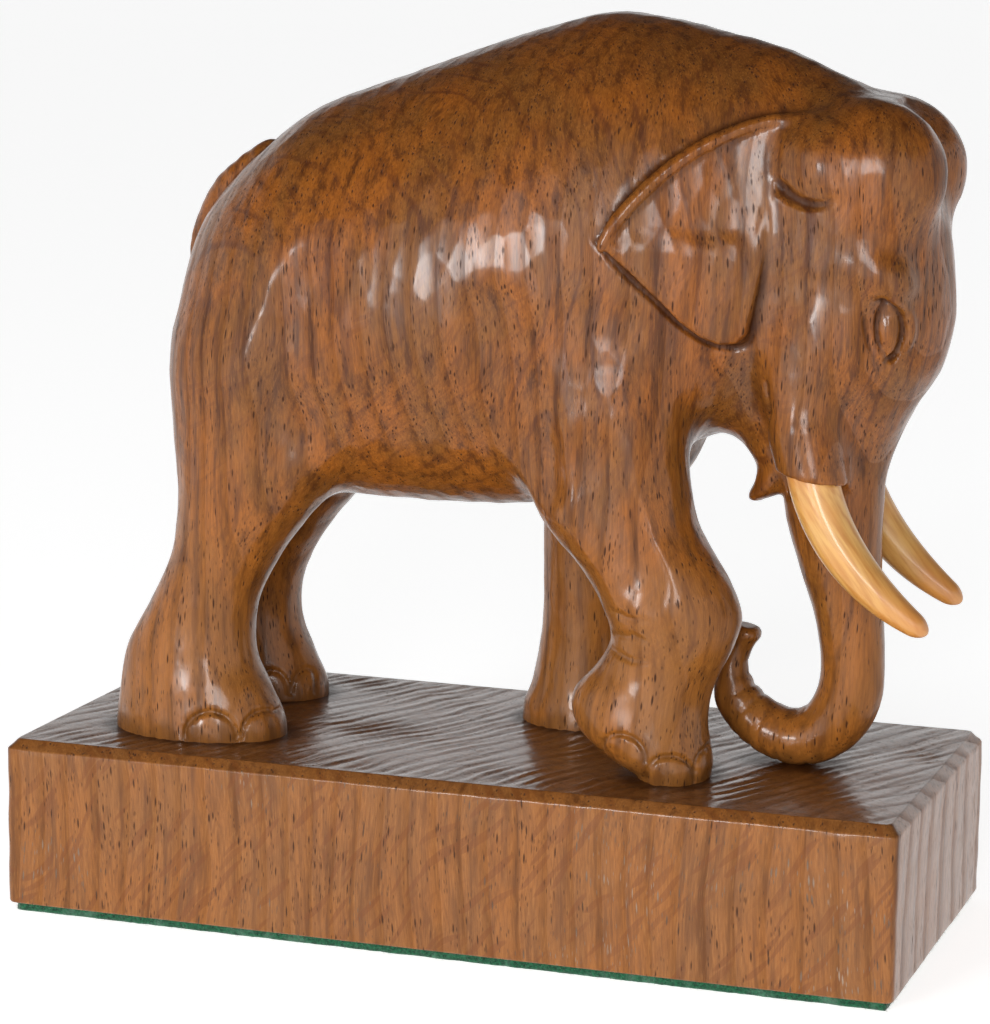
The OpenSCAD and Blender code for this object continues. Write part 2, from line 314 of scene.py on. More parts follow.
# %% Head and trunk
HEAD_LINE = [   # x, z, lean, half depth, half width
    (71.6, 157.6, 25, 10, 11), (70.4, 150.6, 24, 17.2, 18), (69.6, 141.5, 22, 20, 20),
    (69, 131.3, 20, 21, 19.6), (68.2, 121.3, 20, 19.8, 18.2), (67.2, 111.3, 18, 15.6, 15.8),
    (66.6, 102.3, 14, 12.4, 12.6), (66.5, 93.3, 6, 10.3, 10.2), (67.1, 84.3, 0, 9.3, 9),
    (68.5, 75.3, -5, 7.9, 8.2), (70.4, 66.3, -7, 6.6, 7.3), (71.5, 57.3, -4, 6.1, 6.8),
    (71, 49.5, 16, 6.3, 6.6), (67.3, 43.3, 46, 6, 6.4), (61, 40.5, 84, 5.5, 6.2),
    (54, 42.5, 118, 5.1, 5.6), (48.8, 47.4, 150, 4.5, 4.9), (47.5, 53, 178, 3.2, 3.8),
    (48.6, 57.4, 196, 2.7, 3.1), (50, 60.4, 202, 3, 3.4),
]


def bent_taper(block, stations, blend):
    """A row of leaning ovals with their middles on the plane y = 0."""
    s = fine(stations, 5)
    lean = np.radians(s[:, 2])
    along, normal = np.stack([np.cos(lean), -np.sin(lean)], 1), np.stack([np.sin(lean), np.cos(lean)], 1)

    def shape(x, y, z):
        px, pz = np.broadcast_arrays(x[:, 0], z[:, 0])
        best = np.full(px.shape, 1e9)
        held = np.zeros((4,) + px.shape)         # offset, half depth, half width, past the end
        above = [(px - s[i, 0]) * normal[i, 0] + (pz - s[i, 1]) * normal[i, 1] for i in range(len(s))]
        for i in range(len(s) - 1):
            t = above[i] / np.where(np.abs(above[i] - above[i + 1]) < 1e-6, 1e-6, above[i] - above[i + 1])
            cx, cz, a, b = (s[i, j] + t * (s[i + 1, j] - s[i, j]) for j in (0, 1, 3, 4))
            ax, az = (along[i, j] + t * (along[i + 1, j] - along[i, j]) for j in (0, 1))
            off = ((px - cx) * ax + (pz - cz) * az) / np.hypot(ax, az)
            take = (above[i] <= 0) & (above[i + 1] > 0) & (np.abs(off) < best)
            best = np.where(take, np.abs(off), best)
            held = np.where(take, np.stack([off, a, b, 0 * a]), held)
        for i, past in ((0, above[0] > 0), (-1, above[-1] < 0)):
            off = (px - s[i, 0]) * along[i, 0] + (pz - s[i, 1]) * along[i, 1]
            take = past & (np.hypot(off, above[i]) < best)
            best = np.where(take, np.hypot(off, above[i]), best)
            held = np.where(take, np.stack([off, s[i, 3] + 0 * off, s[i, 4] + 0 * off, above[i]]), held)
        off, a, b, over = (h.astype(np.float32)[:, None, :] for h in held)
        a, b = np.maximum(a, 0.5), np.maximum(b, 0.5)
        return oval(off, y, a, b, over, np.minimum(a, b) * 0.75)

    low = (s[:, 0] - s[:, 3]).min(), -s[:, 4].max(), (s[:, 1] - s[:, 3]).min()
    high = (s[:, 0] + s[:, 3]).max(), s[:, 4].max(), (s[:, 1] + s[:, 3]).max()
    block.work(shape, low, high, blend)


head = Block((36, -32, TOP - 2.4), (96, 32, 182), like=wood)
bent_taper(head, HEAD_LINE, 0)
for side in (-1, 1):
    head.ball((73.4, side * 9, 151), (15, 11, 14), 5)
    head.ball((77, side * 15.2, 133.5), (7, 4.2, 4.2), 4, tip=28)      # brow
    head.ball((66, side * 14.5, 118), (9, 5, 10), 6)                    # cheek
JAW = [     # above the plinth, x, y, half length, half width
    (51.6, 51.4, 0, 1.2, 2.6), (53, 53.2, 0, 3.0, 4.6), (55.7, 55, 0, 3.6, 5.4), (58.8, 56, 0, 4.4, 6.2),
    (62.9, 55.5, 0, 6.7, 7.6), (67, 55, 0, 9.2, 9.4), (73, 55, 0, 11, 11), (83, 57, 0, 12, 13),
    (92, 58, 0, 10, 13),
]
column(head, JAW, 2.5)
print("head and trunk of", len(HEAD_LINE), "sections")
wood.join(head, 6)

# %% [markdown]
# ## Tusk sheaths and the mouth
#
# Each tusk comes out of a sleeve of skin below the cheek. The sleeve is a short tapered mass
# with its end cut square to the tusk, which gives the sharp rim that the tusk goes into. A
# deep cut behind the sleeve divides it from the lower jaw.

# %% Sheaths and mouth
TUSK_ROOT, TUSK_WAY = np.array([66.0, 14.8, 95.0]), np.array([0.24, 0.10, -0.966])
TUSK_WAY /= np.linalg.norm(TUSK_WAY)
SLEEVE_LENGTH = 30
SLEEVE_AT, SLEEVE_SIZE = (-SLEEVE_LENGTH, -18, -8, 0, 2), (3, 6.0, 6.9, 6.5, 6.4)
SOCKET_SIZE, SOCKET_DEEP = 5.12, 2.6


def from_tusk(x, y, z, root, way):
    """The offset from the root of a tusk, how far along its line that is and how far from it."""
    gap = [c - root[i] for i, c in enumerate((x, y, z))]
    t = sum(g * way[i] for i, g in enumerate(gap))
    return gap, t, np.sqrt(sum((g - t * way[i]) ** 2 for i, g in enumerate(gap)))


for side in (-1, 1):
    turned = np.array([1, side, 1])
    root, way = TUSK_ROOT * turned, TUSK_WAY * turned

    def sleeve(x, y, z, root=root, way=way):
        gap, t, off = from_tusk(x, y, z, root, way)
        size = np.interp(np.clip(t, -SLEEVE_LENGTH, 2), SLEEVE_AT, SLEEVE_SIZE).astype(np.float32)
        rim = -0.15 * gap[0] - 0.989 * gap[2] - 0.5      # the end is cut on a slight slope to the front
        return np.maximum(np.maximum(off - size, rim), -SLEEVE_LENGTH - t)

    start = root - SLEEVE_LENGTH * way
    wood.work(sleeve, np.minimum(start, root) - 8, np.maximum(start, root) + 8, 4.5)
    crease = [(57.2, -wood.skin_at(57.2, 112, -1, 0.1)[1], 112, 0.4),
              (57.6, -wood.skin_at(57.6, 107, -1, 0.3)[1], 107, 0.8),
              (59.2, 9.8, 99, 1.5), (60.4, 7.6, 94, 1.7), (61, 5, 90, 1.8)]
    wood.stroke([(x, side * y, z, r) for x, y, z, r in crease], 1.6, cut_away=True)

    def socket(x, y, z, root=root, way=way):
        _, t, off = from_tusk(x, y, z, root, way)
        return np.maximum(off - SOCKET_SIZE, -SOCKET_DEEP - t)

    wood.work(socket, root - 9, root + 9, 0.2, cut_away=True)
print("sheaths at", TUSK_ROOT)

# %% [markdown]
# ## Ears
#
# An ear is a leaf that lies along the neck: flat outside, rolled over along its top edge and
# cut in sharply underneath so that a shadow falls behind it. Its outline is drawn on the side
# of the block, the outer face is a gently bent surface, and the leaf is what lies inside both.

# %% Ears
EAR = [         # the outline of an ear: x, z
    (27.3, 138), (29.6, 142.5), (33, 147), (38, 152.2), (43.5, 156.4), (49.5, 159.6), (55.5, 161.6),
    (61.5, 161.8), (66, 160.4), (69.6, 157.4), (71, 153.4), (69, 149.6), (65.4, 148), (61.6, 148.8),
    (59.6, 151.4),
    (58.4, 148), (57.8, 143), (57, 137), (56, 131), (54.8, 125.4), (53.8, 121.2), (52.2, 119.4),
    (49.4, 119.2), (45.8, 120.6), (42, 123.6), (37.6, 128.2), (32.4, 133.4),
]


def ramp(v, low, high):
    """0 below low, 1 above high and smooth between."""
    t = np.clip((v - low) / (high - low), 0, 1)
    return t * t * (3 - 2 * t)


def outline_gap(px, pz, outline):
    """How far points are outside a closed outline."""
    best, inside = np.full(px.shape, 1e9), np.zeros(px.shape, bool)
    o = np.array(outline, float)
    for a, b in zip(o, np.roll(o, -1, 0)):
        d = b - a
        t = np.clip(((px - a[0]) * d[0] + (pz - a[1]) * d[1]) / (d @ d), 0, 1)
        best = np.minimum(best, (px - a[0] - t * d[0]) ** 2 + (pz - a[1] - t * d[1]) ** 2)
        if a[1] != b[1]:
            inside ^= ((a[1] > pz) != (b[1] > pz)) & (px < d[0] * (pz - a[1]) / d[1] + a[0])
    return np.where(inside, -1, 1) * np.sqrt(best)


def ear_face(x, z, inward):
    """How far out the face of the ear stands; inward is the way in from its edge."""
    above = z - 143 + 0.36 * (x - 30)      # the fold between two flats runs down to the front
    face = 30 - 0.335 * (x - 27.3) - 0.125 * np.maximum(0, above) - 0.001 * np.maximum(0, above) ** 2
    face = face + 0.02 * np.maximum(0, -above) - 0.004 * np.maximum(0, 133 - z) ** 2
    rolled = ramp(z, 136, 142) * (1 - ramp(x, 50, 58))
    return face - 0.8 * rolled * ramp(inward, 1.5, 2.5)


def leaf(x, y, z):
    px, pz = np.broadcast_arrays(x[:, 0], z[:, 0])
    gap = outline_gap(px, pz, EAR)
    face = ear_face(px, pz, -gap)
    gap, face = (a.astype(np.float32)[:, None, :] for a in (gap, face))
    return -soft_min(-gap, face - np.abs(y), 1.2)


# the sharp cut under the rear and lower edges follows the neck as it was before the ear
under = fine([(26.6, 138.4), (29.6, 134.9), (33.2, 131.2), (37.3, 127.3), (41.6, 122.9), (45.3, 119.9),
              (49.2, 118.3), (52.7, 118.6), (54.4, 120.8)], 4)
under_size = np.interp(np.arange(len(under)), (0, 6, 24, 32), (0.35, 0.62, 0.85, 0.4))
cuts = [[(*wood.skin_at(x, z, side, -0.1), r) for (x, z), r in zip(under, under_size)] for side in (-1, 1)]
wood.work(leaf, (27, -31, 118), (72, 31, 163), 0.4)
for side, cut in zip((-1, 1), cuts):
    # the roll along the top edge
    roll = fine([(x + 0.8, z - 1.0) for x, z in EAR[:9]], 4)
    out = [float(ear_face(np.float64(x), np.float64(z), 0.0)) for x, z in roll]
    size = np.interp(np.arange(len(roll)), (0, 4, 16, 24, 32), (0.8, 1.1, 1.2, 1.1, 0.9))
    wood.stroke([(x, side * (o - 0.7), z, r) for (x, z), o, r in zip(roll, out, size)], 0.5)
    # the thumb of the ear, where the roll turns down over the temple
    wood.ball(wood.skin_at(66.6, 153.6, side, 4.9), (8.6, 6.4, 7.0), 4, turn=side * 10, tip=24)
    arc = fine([(58.4, 150.6), (59.6, 148.9), (61.8, 147.3), (64.8, 146.3), (67.8, 146.4), (70, 147.4)], 3)
    depth = np.interp(np.arange(len(arc)), (0, 3, 9, 15), (0.5, 1.25, 1.1, 0.3))
    wood.stroke([(*wood.skin_at(x, z - 0.4, side, -0.3), r) for (x, z), r in zip(arc, depth)],
                0.5, cut_away=True)
    wood.stroke(cut, 0.3, cut_away=True)
print("ears with", len(EAR), "points round the outline")

# %% [markdown]
# ## Eyes
#
# An eye is a low ball in an almond-shaped cut. The heavy lid is on the front side, with a dark
# pocket at the lower corner and two creases behind. Every cut follows the wood as it lies now,
# so the points are given only from the side and dropped on to the surface.

# %% Eyes
def draw_on(points, side, sink, blend, cut_away=True):
    """A stroke along (x, z, radius) points laid on the surface as seen from one side."""
    wood.stroke([(*wood.skin_at(x, z, side, sink), r) for x, z, r in points], blend, cut_away)


for side in (-1, 1):
    wood.ball(wood.skin_at(78.6, 122.4, side, -1.2), (3.6, 2.0, 6.2), 1.8, cut_away=True, turn=side * -30)
    wood.ball(wood.skin_at(79.4, 123.2, side, 1.35), (2.3, 2.0, 4.6), 0.15, turn=side * -32)
    back_lid = fine([(79.0, 128.2), (77.9, 126.0), (77.5, 123.2), (77.9, 120.6), (79.0, 118.4)], 3)
    draw_on([(x, z, 0.5) for x, z in back_lid], side, 0.1, 0.05)
    lid = fine([(78.6, 128.8), (80.4, 127.9), (81.7, 125.6), (82.2, 122.8), (81.6, 119.8), (80.4, 117.2)], 3)
    draw_on([(x, z, r) for (x, z), r in zip(lid, np.linspace(0.5, 0.85, len(lid)))], side, 0.1, 0.05)
    draw_on([(80.4, 118.0, 0.8), (79.5, 117.0, 0.95), (79.6, 115.6, 0.4)], side, -0.3, 0.2)
    ridge = [(x + 1.2, z + 0.5) for x, z in lid[2:-2]]
    draw_on([(x, z, 0.6) for x, z in ridge], side, 0.3, 0.8, cut_away=False)
    bag = fine([(75.6, 125.4), (76.1, 121.6), (77.2, 118.4), (78.4, 115.4)], 3)
    draw_on([(x, z, 0.5) for x, z in bag], side, 0, 0.3)
print("eyes done")

# %% [markdown]
# ## Nails, folds and the tail
#
# Each foot has rounded nails, marked off with a cut arc. The raised foreleg stands on its
# toes, so its nails sit higher and its joint is creased behind. Shallow hollows set off the
# haunch and the shoulder, fine rings go round the curl of the trunk, and the tail lies down
# the middle of the rump.

# %% Nails, wrinkles and the tail
NAILS = [   # x, z, half width and half height of each nail, seen from its side, and the side
    (-51.4, 36.6, 5.0, 4.8, -1), (-42.6, 36.4, 3.0, 4.8, -1),
    (33.6, 40.4, 4.8, 4.4, -1), (42.6, 36.6, 4.2, 4.5, -1), (48.2, 38.2, 1.4, 3.4, -1),
    (-58, 37.0, 5, 4.8, 1), (-50, 36.8, 3, 4.6, 1), (12, 37.0, 4.6, 4.8, 1), (19.6, 36.8, 3, 4.6, 1),
]
RAISED = 37.2       # a nail higher than this is only outlined, as its toe is round already


def outward(point):
    """Which way the surface faces at a point, and that direction's turn about z."""
    here, h = np.array([point]), 0.8
    slope = [float(wood.at(here + h * e)[0] - wood.at(here - h * e)[0]) for e in np.eye(3)]
    slope = np.array(slope) / np.linalg.norm(slope)
    return slope, math.degrees(math.atan2(slope[1], slope[0])) - 90


for x, z, wide, tall, side in NAILS:
    at = np.array(wood.skin_at(x, z, side))
    way, turn = outward(at)
    arc = [(x + wide * math.cos(a), z + tall * math.sin(a), 0.5) for a in np.radians(np.arange(-10, 200, 10))]
    arc = [(*wood.skin_at(px, pz, side, 0.1), r) for px, pz, r in arc if pz > TOP + 0.3]
    if z < RAISED:
        wood.ball(at - way * 1.25, (wide - 0.4, 1.5, tall - 0.2), 0.8, turn=turn)
    wood.stroke(arc, 0.05, cut_away=True)

# two nails on the inner side of the left hind foot, reached between the legs
for x, wide in ((-53.6, 3.4), (-47.8, 1.9)):
    arc = [(x + wide * math.cos(a), 37 + 4.8 * math.sin(a)) for a in np.radians(np.arange(0, 190, 12))]
    deep = np.arange(3, 24, 0.1)
    found = [wood.at(np.stack([deep * 0 + px, deep, deep * 0 + pz], 1)) for px, pz in arc]
    wood.stroke([(px, deep[np.argmax(d < 0)], pz, 0.5) for (px, pz), d in zip(arc, found) if (d < 0).any()],
                0.05, cut_away=True)

# folds behind the bent joint of the raised foreleg
for z, bow in ((67.4, 0.5), (63.2, -0.4), (59.4, 0.6)):
    draw_on([(29.6, z + bow, 0.3), (32, z, 0.5), (35, z - bow, 0.5), (38, z - 0.4, 0.3)], -1, -0.2, 0.6)

# hollows in front of the haunch, behind the shoulder and down the foreleg, cut with a big gouge
HOLLOWS = [     # the path in x and z, and how deep it goes
    ([(-30, 130), (-33, 118), (-34, 106), (-31, 96)], 0.6), ([(8, 124), (11, 108), (13, 92)], 0.6),
    ([(28, 98), (31, 88), (34, 80), (36, 74)], 0.55),
]
GOUGE = 9.0
for path, depth in HOLLOWS:
    bowl = [(*wood.skin_at(x, z, -1, depth - GOUGE), GOUGE) for x, z in fine(path, 4)]
    wood.stroke(bowl, 3.5, cut_away=True)
    wood.stroke([(x, -y, z, r) for x, y, z, r in bowl], 3.5, cut_away=True)

# fine folds round the curl of the trunk
curl = fine(HEAD_LINE, 5)[66:90:3]
for k, (x, z, lean, deep, wide) in enumerate(curl):
    a, b = (deep + 0.1) * math.cos(math.radians(lean)), (deep + 0.1) * math.sin(math.radians(lean))
    ring = [(x + a * math.cos(t), (wide + 0.1) * math.sin(t), z - b * math.cos(t),
             0.26 + 0.16 * math.sin(t + k)) for t in np.radians(np.arange(0, 361, 18))]
    wood.stroke(ring, 0.3, cut_away=True)

# the end of the trunk is cut off flat, with a lip in front
wood.work(lambda x, y, z: np.maximum(61.9 - z - 0.22 * (x - 50), np.abs(y) - 6) + 0 * x,
          (44, -6, 59), (57, 6, 68), 0.1, cut_away=True)
wood.ball((51.7, 0, 60.4), (1.2, 2.6, 1.0), 1.2, tip=-12)

# the tail lies down the middle of the rump
tail = [(-50, 1, 149.6, 3.0), (-59.2, 1.5, 142.2, 3.3), (-64.0, 1.5, 132.4, 3.1), (-65, 1.5, 121, 2.8),
        (-66, 1.5, 108, 2.5), (-65.2, 1.5, 94, 2.2), (-63.6, 1.5, 83, 2.6), (-63, 1.5, 78, 1.6)]
wood.stroke(fine(tail, 4), 1.0)
print(len(NAILS), "nails,", len(HOLLOWS), "hollows and", len(curl), "folds on the trunk")

# %% [markdown]
# ## From grid to surface
#
# The surface runs wherever the numbers change sign. One point goes in each grid cell that the
# surface passes through, and every grid edge that it crosses gets a four-sided face between
# the four cells round it. That gives an even net of quads with no creases of its own.

# %% Grid to mesh
def net(block):
    f, inside = block.field, block.field < 0
    cells = np.array(f.shape) - 1

    def part(a, c):
        return a[c[0]:c[0] + cells[0], c[1]:c[1] + cells[1], c[2]:c[2] + cells[2]]

    corners = list(np.ndindex(2, 2, 2))
    total = sum(part(inside, c).astype(np.uint8) for c in corners)
    live = (total > 0) & (total < 8)
    where = np.argwhere(live)
    number = np.full(cells, -1, np.int32)
    number[live] = np.arange(len(where))
    crossings, count = np.zeros((len(where), 3)), np.zeros(len(where))
    for a in corners:
        for axis in range(3):
            if a[axis]:
                continue
            b = tuple(1 if i == axis else v for i, v in enumerate(a))
            fa, fb = (f[tuple((where + c).T)] for c in (a, b))
            cross = (fa < 0) != (fb < 0)
            p = np.tile(np.array(a, float), (len(where), 1))
            p[:, axis] = fa / np.where(cross, fa - fb, 1)
            crossings[cross] += p[cross]
            count[cross] += 1
    points = (where + crossings / count[:, None]) * STEP + np.array([a[0] for a in block.axes])
    quads = []
    for axis in range(3):
        u, v = (axis + 1) % 3, (axis + 2) % 3
        first, second = [slice(1, -1)] * 3, [slice(1, -1)] * 3
        first[axis], second[axis] = slice(0, -1), slice(1, None)
        edge = np.argwhere(inside[tuple(first)] != inside[tuple(second)])
        edge[:, u] += 1
        edge[:, v] += 1
        du, dv = np.eye(3, dtype=int)[u], np.eye(3, dtype=int)[v]
        q = np.stack([number[tuple(k.T)] for k in (edge - du - dv, edge - dv, edge, edge - du)], 1)
        turned_round = ~inside[tuple(edge.T)]
        q[turned_round] = q[turned_round][:, ::-1]
        quads.append(q)
    return points, np.concatenate(quads)


def make_mesh(name, points, faces, smooth=True):
    """A named object from points in millimetres. smooth is one value, or one for each face."""
    mesh = bpy.data.meshes.new(name)
    mesh.from_pydata((np.asarray(points) * MM).tolist(), [], faces)
    mesh.update()
    mesh.polygons.foreach_set("use_smooth", np.broadcast_to(smooth, len(faces)).tolist())
    piece = bpy.data.objects.new(name, mesh)
    bpy.context.scene.collection.objects.link(piece)
    return piece


def even_out(points, quads, rounds=3):
    """Smooths the net a little and swells it back, so that it loses its grid marks only."""
    a = np.concatenate([quads[:, i] for i in range(4)])
    b = np.concatenate([quads[:, (i + 1) % 4] for i in range(4)])
    count = np.bincount(a, minlength=len(points))[:, None] + np.bincount(b, minlength=len(points))[:, None]
    for share in (0.5, -0.52) * rounds:
        total = np.stack([np.bincount(a, points[b, i], len(points))
                          + np.bincount(b, points[a, i], len(points)) for i in range(3)], 1)
        points = points + share * (total / count - points)
    return points


points, quads = net(wood)
points = even_out(points, quads)
elephant = make_mesh("carved_elephant", points, quads.tolist())
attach(elephant, "root")
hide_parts("elephant_and_plinth")
print("carved surface:", len(points), "points", len(quads), "quads")

# %% [markdown]
# ## Knife marks
#
# A carver leaves the wood in small flats where the knife came off. The spots where two flats
# meet stand a few hundredths of a millimetre proud, which is enough to break up a highlight.
# Each point of the surface finds the nearest of many scattered centres, and moves out by the
# square of its distance from it, so that every centre makes one shallow hollow.

# %% Knife marks
def nearest_centre(points, cell, seed):
    """Distance to the nearest of one random centre in each cell of a grid."""
    where = np.floor(points / cell).astype(np.int64)
    best = np.full(len(points), 1e9)
    for shift in np.ndindex(3, 3, 3):
        box = where + np.array(shift) - 1
        key = box[:, 0] * 73856093 ^ box[:, 1] * 19349663 ^ box[:, 2] * 83492791 ^ seed
        centre = [(box[:, i] + ((key * m >> 7) % 1009) / 1009) * cell
                  for i, m in enumerate((2654435761, 40503, 69069))]
        best = np.minimum(best, sum((points[:, i] - centre[i]) ** 2 for i in range(3)))
    return np.sqrt(best)


def normals(points, quads):
    face = np.cross(points[quads[:, 2]] - points[quads[:, 0]], points[quads[:, 3]] - points[quads[:, 1]])
    total = np.stack([np.bincount(quads.ravel(), np.repeat(face[:, i], 4), len(points)) for i in range(3)], 1)
    return total / np.maximum(np.linalg.norm(total, axis=1), 1e-9)[:, None]


FLAT_SIZE, FLAT_CURVE, FLAT_SINK = 3.5, 0.018, 0.07
hollow = nearest_centre(points * (1, 1, 0.55), FLAT_SIZE, 11)      # longer along the grain
flats = FLAT_CURVE * np.minimum(hollow, 3.6) ** 2 - FLAT_SINK
points = points + normals(points, quads) * flats[:, None]
elephant.data.vertices.foreach_set("co", (points * MM).astype(np.float32).ravel())
elephant.data.update()
print("knife marks up to", round(float(np.ptp(flats)), 2), "mm deep")

# %% [markdown]
# ## Painted shade in the hollows
#
# The hollows of the carving are painted darker, as painted shade. How enclosed a spot is can be
# read off the block: average the grid over a small cube, and a hollow shows more wood than
# air. The figure goes into the mesh as a value on each point, which the finish reads.

# %% Enclosed corners
def spread(field, reach):
    """The mean of a field over a cube that reaches that many cells each way."""
    for axis in range(3):
        pad = [(reach + 1, reach) if i == axis else (0, 0) for i in range(3)]
        total = np.cumsum(np.pad(field, pad, "edge"), axis=axis, dtype=np.float64)
        high, low = [slice(None)] * 3, [slice(None)] * 3
        high[axis], low[axis] = slice(2 * reach + 1, None), slice(0, -2 * reach - 1)
        field = ((total[tuple(high)] - total[tuple(low)]) / (2 * reach + 1)).astype(np.float32)
    return field


def enclosed(block, points, size):
    """1 where a point is shut in by wood, -1 where it stands out, judged over that many millimetres."""
    reach = max(1, round(size / STEP))
    solid = Block.__new__(Block)
    solid.axes = block.axes
    solid.field = spread(np.clip(block.field, -size, size), reach)
    return -solid.at(points) / size


fine_corner, wide_corner = enclosed(wood, points, 1.6), enclosed(wood, points, 5.0)
# painted shade: a dark line, wandering a little, runs round each foot where it meets the plinth
corner = np.clip(3.2 * fine_corner, 0, 1) * 0.7 + np.clip(2.0 * wide_corner, 0, 1) * 0.5
near_plinth = 1 - ramp(points[:, 2] + 1.5 * np.sin(points[:, 0] * 0.9 + points[:, 1]), TOP, TOP + 6)
corner = np.clip(corner + 0.75 * near_plinth ** 1.5, 0, 1)
proud = np.clip(-fine_corner * 2.0, 0, 1)


def write_value(piece, name, values):
    piece.data.attributes.new(name, "FLOAT", "POINT").data.foreach_set("value", values.astype(np.float32))


# the corner value carries this painted shade to the finish
write_value(elephant, "corner", corner)
write_value(elephant, "proud", proud)
print("corner share", round(float((corner > 0.3).mean()), 2))

# %% [markdown]
# ## The plinth
#
# The plinth is what is left of the block: straight sides, a chamfer round the top edge, small
# rounds at the upright corners, and a top that was levelled with a gouge and never quite
# flattened. It is made as rings of points, from the bottom edge up over the chamfer, that meet
# a grid on top. The gouge ripples follow the growth rings, as they do where the tool rides
# over hard and soft wood in turn.

# %% Plinth
base_high = np.array(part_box("baize")[1]) / MM
BAIZE_THICK = base_high[2]
LENGTH, WIDTH, CHAMFER, CORNER = 180.0, 80.6, 1.8, 1.6
RING_WAY = np.array([0.90, -0.44, 0.0])         # across the growth rings, seen from above


def spaced(half, step):
    """Positions from -half to half, closer together near both ends."""
    edge = np.array([0, 0.25, 0.6, 1.1, 1.7])
    inner = np.arange(-half + 2.4, half - 2.3, step)
    return np.concatenate([edge - half, inner, half - edge[::-1]])


def wave(points, scale, seed):
    """Smooth noise from a few crossing waves."""
    rng = np.random.default_rng(seed)
    total = 0
    for _ in range(9):
        way = rng.normal(size=3)
        way *= 2 * math.pi / (scale * np.linalg.norm(way) * rng.uniform(0.7, 1.5))
        total = total + np.sin(points @ way + rng.uniform(0, 6.28))
    return total / 3


def ripple(p):
    """Gouge ripples over the top, in millimetres."""
    across_rings = p @ RING_WAY
    bent = across_rings + 1.1 * wave(p, 45, 3) + 0.35 * wave(p, 12, 4)
    ridges = np.sin(bent * 2 * math.pi / 3.1) + 0.6 * np.sin(bent * 2 * math.pi / 1.9 + 1.3 * wave(p, 20, 5))
    return 0.085 * ridges * (0.7 + 0.5 * wave(p, 16, 6)) + 0.08 * wave(p, 22, 7) + 0.02 * wave(p, 2.2, 8)


def ring_faces(rows, m):
    """Quads that join rows of m points, each row a closed ring."""
    return [(r * m + i, r * m + (i + 1) % m, (r + 1) * m + (i + 1) % m, (r + 1) * m + i)
            for r in range(rows - 1) for i in range(m)]


spacing = 0.7
xs, ys = spaced(LENGTH / 2, spacing), spaced(WIDTH / 2, spacing)
nx, ny = len(xs), len(ys)
border = ([(i, 0) for i in range(nx)] + [(nx - 1, j) for j in range(1, ny)]
          + [(i, ny - 1) for i in range(nx - 2, -1, -1)] + [(0, j) for j in range(ny - 2, 0, -1)])
outline = np.array([(xs[i], ys[j]) for i, j in border])


def rounded(p, shrink, radius):
    """The outline moved in by shrink, with its corners rounded."""
    half = np.array([LENGTH, WIDTH]) / 2
    q = p * (half - shrink) / half
    inner = half - shrink - radius
    over = np.abs(q) - inner
    both = (over > 0).all(1)
    size = np.maximum(np.linalg.norm(over, axis=1), 1e-9)
    scale = np.max(over, axis=1) / size
    fixed = np.sign(q) * (inner + over * scale[:, None])
    return np.where(both[:, None], fixed, q)


rise = TOP - BAIZE_THICK
edge_foot = rise - CHAMFER      # where the chamfer starts
levels = [(0, 0.5), (0.15, 0.15), (0.5, 0)] + [(z, 0) for z in np.arange(1.6, edge_foot - 0.6, 1.1)]
levels += [(edge_foot - 0.4, 0.0), (edge_foot - 0.12, 0.04), (edge_foot + 0.15, 0.2),
           (rise - CHAMFER * 0.55, CHAMFER * 0.5), (rise - 0.3, CHAMFER - 0.34), (rise - 0.12, CHAMFER - 0.1)]
rings, half_size = [], np.array([LENGTH, WIDTH]) / 2
for z, shrink in levels:
    flat = rounded(outline, shrink, CORNER)
    ring = np.column_stack([flat, np.full(len(flat), BAIZE_THICK + z)])
    uneven = 0.05 * wave(ring * (1, 1, 2.5), 24, 21) + 0.03 * wave(ring, 7, 22)
    if z > edge_foot - 0.4:
        uneven = uneven + 0.09 * wave(ring * (1, 1, 0), 16, 23) - 0.03
    inward = np.sign(flat) * (np.abs(flat) > half_size - 2.5)
    ring[:, :2] -= inward * np.maximum(uneven, -0.03)[:, None] * (0 if z == 0 else 1)
    rings.append(ring)
shrunk = (half_size - CHAMFER) / half_size
top = np.array([(x * shrunk[0], y * shrunk[1], 0.0) for x in xs for y in ys])
top[:, :2] = rounded(top[:, :2] / shrunk, CHAMFER, CORNER)
from_edge = (half_size - CHAMFER - np.abs(top[:, :2])).min(1)
top[:, 2] = TOP - 0.02 + np.minimum(ripple(top), 0.3) * ramp(from_edge, 0, 3)
plinth_points = np.vstack(rings + [top])
m, first = len(border), len(rings) * len(border)


def on_grid(i, j):
    """The number of a point of the top."""
    return first + i * ny + j


last, seam = first - m, [on_grid(i, j) for i, j in border]
plinth_faces = ring_faces(len(rings), m)
plinth_faces += [(last + i, last + (i + 1) % m, seam[(i + 1) % m], seam[i]) for i in range(m)]
plinth_faces += [(on_grid(i, j), on_grid(i + 1, j), on_grid(i + 1, j + 1), on_grid(i, j + 1))
                 for i in range(nx - 1) for j in range(ny - 1)]
plinth_faces += [tuple(range(m - 1, -1, -1))]
plinth = make_mesh("plinth", plinth_points, plinth_faces, [len(f) == 4 for f in plinth_faces])
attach(plinth, "root")
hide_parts("elephant_and_plinth")
# painted shadow: the top of the plinth is darker where the feet stand close above it; its top and chamfer are
# also a little darker in tone
over_plinth = np.column_stack([plinth_points[:, :2], np.full(len(plinth_points), TOP + 1.0)])
feet = np.where(plinth_points[:, 2] > TOP - 1, 1 - ramp(wood.at(over_plinth), 0, 5), 0)
on_top = ramp(plinth_points[:, 2], TOP - 0.8, TOP - 0.2)
to_side = (half_size - np.abs(plinth_points[:, :2])).min(1)
on_chamfer = ramp(plinth_points[:, 2], TOP - CHAMFER - 0.2, TOP - CHAMFER + 0.2)
on_chamfer = on_chamfer * (1 - ramp(to_side, CHAMFER, CHAMFER + 0.4))
